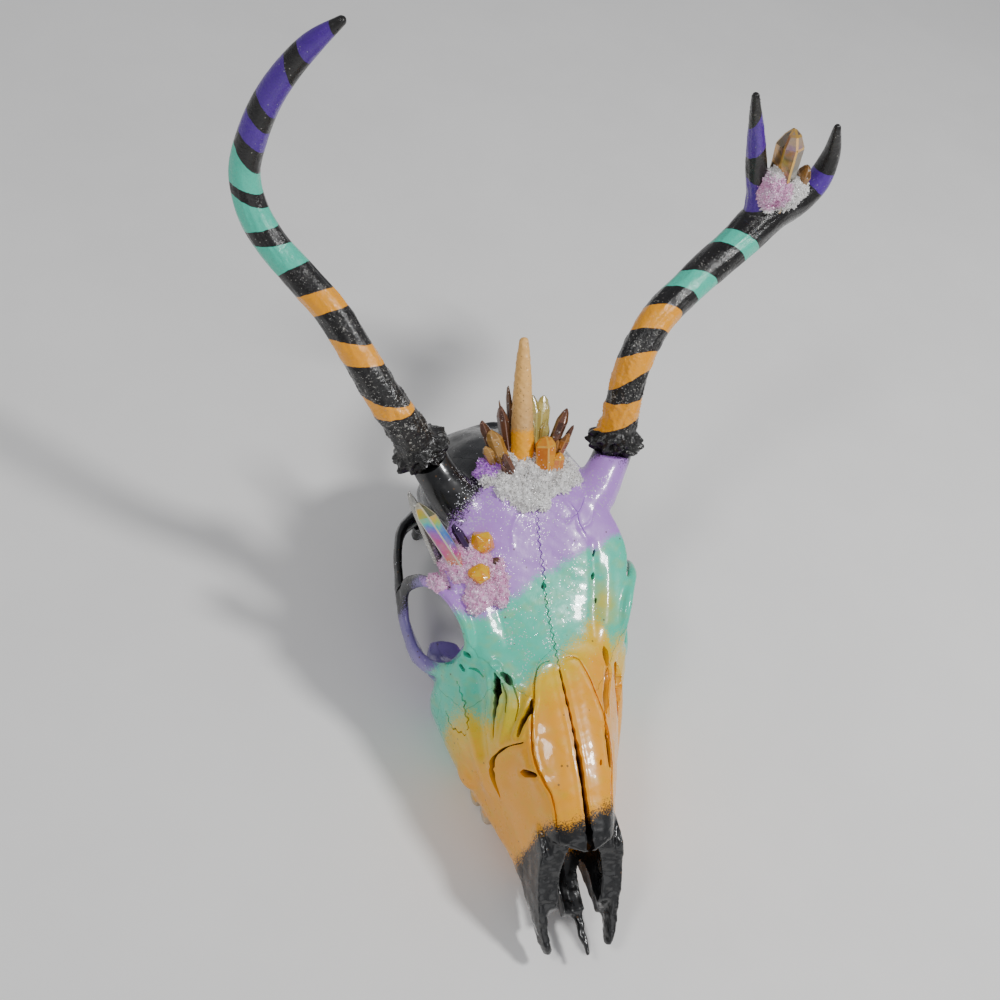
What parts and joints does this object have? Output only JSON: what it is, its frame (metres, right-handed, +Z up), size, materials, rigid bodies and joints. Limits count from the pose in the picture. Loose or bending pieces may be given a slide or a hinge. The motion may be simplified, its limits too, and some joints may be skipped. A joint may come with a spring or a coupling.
{
  "type": "decorated deer skull",
  "caption": "Painted deer skull with antlers, lying on its cheek teeth, dressed with crystal clusters on the crown, one brow and one antler fork.",
  "frame": {"origin": "centre of the whole object's box, on the surface that it lies on", "axes": "+X to the deer's left, +Y back from the nose, +Z up"},
  "size_m": [0.2793, 0.2869, 0.2732],
  "materials": {
    "paint_orange": "gloss",
    "paint_teal": "gloss",
    "paint_lilac": "gloss",
    "paint_black": "gloss",
    "bare_bone": "matte",
    "druse": "sparkling",
    "crystal": "polished"
  },
  "bodies": {
    "root": {"braincase": "paint_black", "frontal_left": "paint_lilac", "frontal_right": "paint_lilac", "lacrimal_left": "paint_teal", "lacrimal_right": "paint_teal", "zygomatic_left": "paint_teal", "zygomatic_right": "paint_teal", "nasal_left": "paint_orange", "nasal_right": "paint_orange", "maxilla_left": "paint_orange", "maxilla_right": "paint_orange", "premaxilla_left": "paint_black", "premaxilla_right": "paint_black", "antler_right": "paint_black", "antler_left_beam": "paint_black", "antler_left_inner_tine": "paint_black", "antler_left_outer_tine": "paint_black", "crown_tine": "bare_bone", "crown_bed": "druse", "crown_crystal_brown_left": "crystal", "crown_crystal_tan_left": "crystal", "crown_crystal_brown_back": "crystal", "crown_crystal_thin_back": "crystal", "crown_crystal_clear_back": "crystal", "crown_crystal_clear_right": "crystal", "crown_crystal_brown_right": "crystal", "crown_crystal_bronze_right": "crystal", "crown_crystal_amber_right": "crystal", "crown_crystal_brown_front": "crystal", "brow_bed": "druse", "brow_crystal_rainbow": "crystal", "brow_crystal_purple": "crystal", "brow_crystal_silver": "crystal", "brow_crystal_yellow_back": "crystal", "brow_crystal_yellow_front": "crystal", "brow_crystal_brown_small": "crystal", "fork_bed": "druse", "fork_crystal_bronze": "crystal", "fork_crystal_dark": "crystal"}
  },
  "joints": []
}
